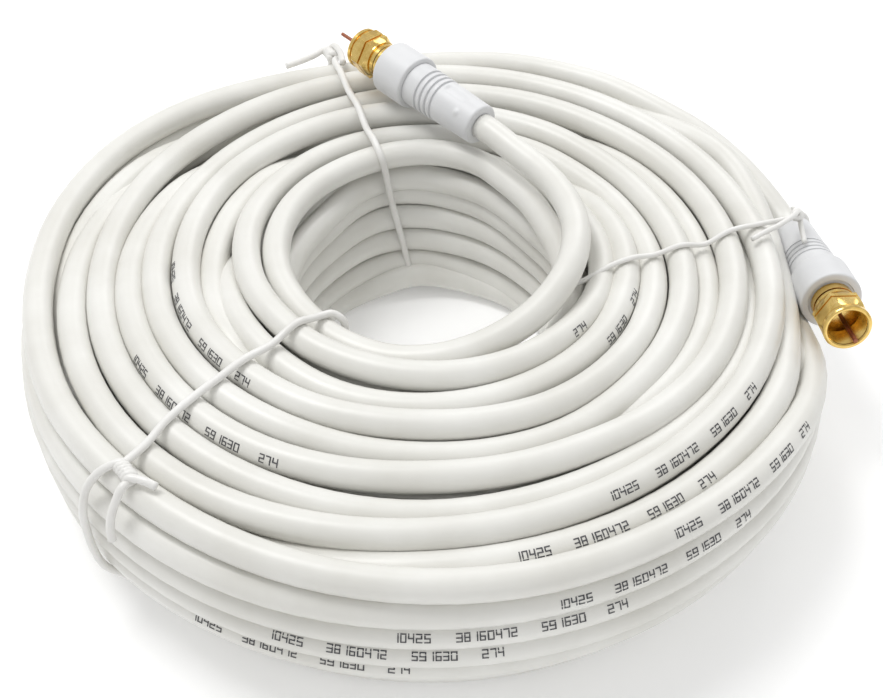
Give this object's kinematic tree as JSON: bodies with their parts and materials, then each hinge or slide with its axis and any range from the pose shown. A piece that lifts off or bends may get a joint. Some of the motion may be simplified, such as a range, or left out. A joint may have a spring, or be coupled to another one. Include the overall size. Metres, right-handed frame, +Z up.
{
  "type": "coaxial cable coil",
  "caption": "Flat round coil of white coaxial cable with a moulded screw-on plug on each end, held by white wire ties.",
  "frame": {"origin": "middle of the bounding box, at the floor", "axes": "+Z up along the coil's axis; plug B lies along the coil's +X side, and plug A lies on top at the +Y side"},
  "size_m": [0.2018, 0.196, 0.0601],
  "materials": {
    "jacket": "satin white PVC",
    "boot": "moulded white PVC",
    "gold_plate": "gold-plated brass",
    "copper": "copper-clad centre wire",
    "tie": "plastic-coated wire"
  },
  "bodies": {
    "coil": {"cable_coil": "jacket", "cable_end_a": "jacket", "cable_end_b": "jacket", "plug_a_boot": "boot", "plug_a_body": "gold_plate", "plug_a_conductor": "copper", "plug_b_boot": "boot", "plug_b_body": "gold_plate", "plug_b_conductor": "copper", "tie_rear": "tie", "tie_front": "tie", "tie_right": "tie"},
    "nut_a": {"plug_a_nut": "gold_plate"},
    "nut_b": {"plug_b_nut": "gold_plate"}
  },
  "joints": [
    {"name": "nut_a_spin", "type": "hinge", "parent": "coil", "child": "nut_a", "pos_m": [-0.01589, 0.07252, 0.05287], "axis": [-0.6847, 0.7267, 0.055], "continuous": true},
    {"name": "nut_b_spin", "type": "hinge", "parent": "coil", "child": "nut_b", "pos_m": [0.0931, -0.01214, 0.03846], "axis": [0.032, -0.9759, 0.216], "continuous": true}
  ]
}
